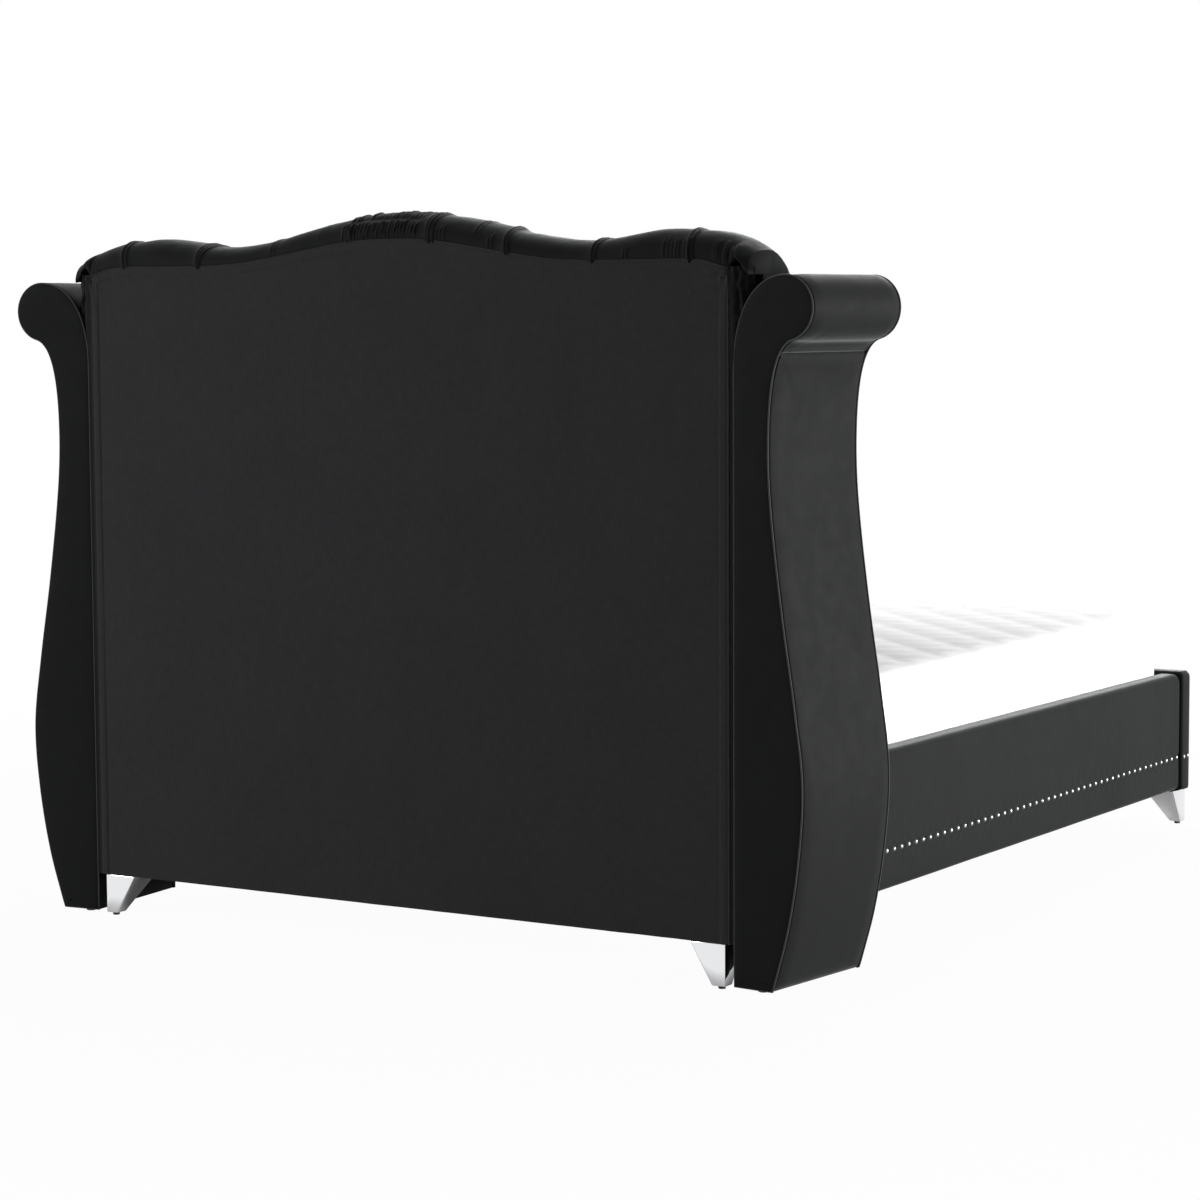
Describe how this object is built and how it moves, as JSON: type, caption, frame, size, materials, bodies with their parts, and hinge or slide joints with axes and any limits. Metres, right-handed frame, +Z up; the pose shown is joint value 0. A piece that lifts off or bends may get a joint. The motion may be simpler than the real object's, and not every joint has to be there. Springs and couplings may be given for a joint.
{
  "type": "winged sleigh bed",
  "caption": "Upholstered double bed with a high serpentine headboard, scrolled side wings, padded rails, low footboard, slatted base and mattress.",
  "frame": {"origin": "on the floor, under the middle of the bed's overall length and width", "axes": "+Z up, +Y towards the headboard, +X to the right of someone standing at the foot and looking at the headboard"},
  "size_m": [1.9056, 2.2544, 1.428],
  "materials": {
    "velvet": "short cut-pile velvet",
    "back_cloth": "plain matte lining cloth",
    "mattress_cloth": "white knitted ticking",
    "timber": "planed pine",
    "plywood": "sanded birch plywood",
    "chrome": "polished",
    "steel": "black powder coat",
    "black_plastic": "moulded"
  },
  "bodies": {
    "bed_frame": {"headboard_back_cover": "back_cloth", "headboard_crest_board": "plywood", "headboard_front_panel": "plywood", "headboard_stile_left": "timber", "headboard_stile_right": "timber", "headboard_bottom_rail": "timber", "headboard_middle_rail": "timber", "headboard_tufted_pad": "velvet", "wing_back_facing_left": "velvet", "wing_front_facing_left": "velvet", "wing_core_left": "plywood", "wing_inner_cover_left": "velvet", "wing_scroll_cover_left": "velvet", "wing_side_cover_left": "velvet", "wing_glide_rear_left": "black_plastic", "wing_glide_front_left": "black_plastic", "wing_back_facing_right": "velvet", "wing_front_facing_right": "velvet", "wing_core_right": "plywood", "wing_inner_cover_right": "velvet", "wing_scroll_cover_right": "velvet", "wing_side_cover_right": "velvet", "wing_glide_rear_right": "black_plastic", "wing_glide_front_right": "black_plastic", "leg_head_left": "chrome", "leg_head_right": "chrome", "leg_foot_left": "chrome", "leg_foot_right": "chrome", "leg_glide_head_left": "black_plastic", "leg_glide_head_right": "black_plastic", "leg_glide_foot_left": "black_plastic", "leg_glide_foot_right": "black_plastic", "rail_cover_left": "velvet", "rail_cover_right": "velvet", "rail_board_left": "timber", "rail_board_right": "timber", "slat_ledge_left": "timber", "slat_ledge_right": "timber", "rail_bracket_head_left": "steel", "rail_bracket_head_right": "steel", "rail_bracket_foot_left": "steel", "rail_bracket_foot_right": "steel", "footboard_cover": "velvet", "footboard_core": "timber", "centre_beam": "timber", "beam_saddle_head": "steel", "beam_saddle_foot": "steel", "beam_post_1": "timber", "beam_post_2": "timber", "slat_1": "plywood", "slat_2": "plywood", "slat_3": "plywood", "slat_4": "plywood", "slat_5": "plywood", "slat_6": "plywood", "slat_7": "plywood", "slat_8": "plywood", "slat_9": "plywood", "slat_10": "plywood"},
    "mattress": {"mattress": "mattress_cloth"}
  },
  "joints": [
    {"name": "mattress_lift", "type": "slide", "parent": "bed_frame", "child": "mattress", "axis": [0, 0, 1], "range_m": [0, 0.3]}
  ]
}
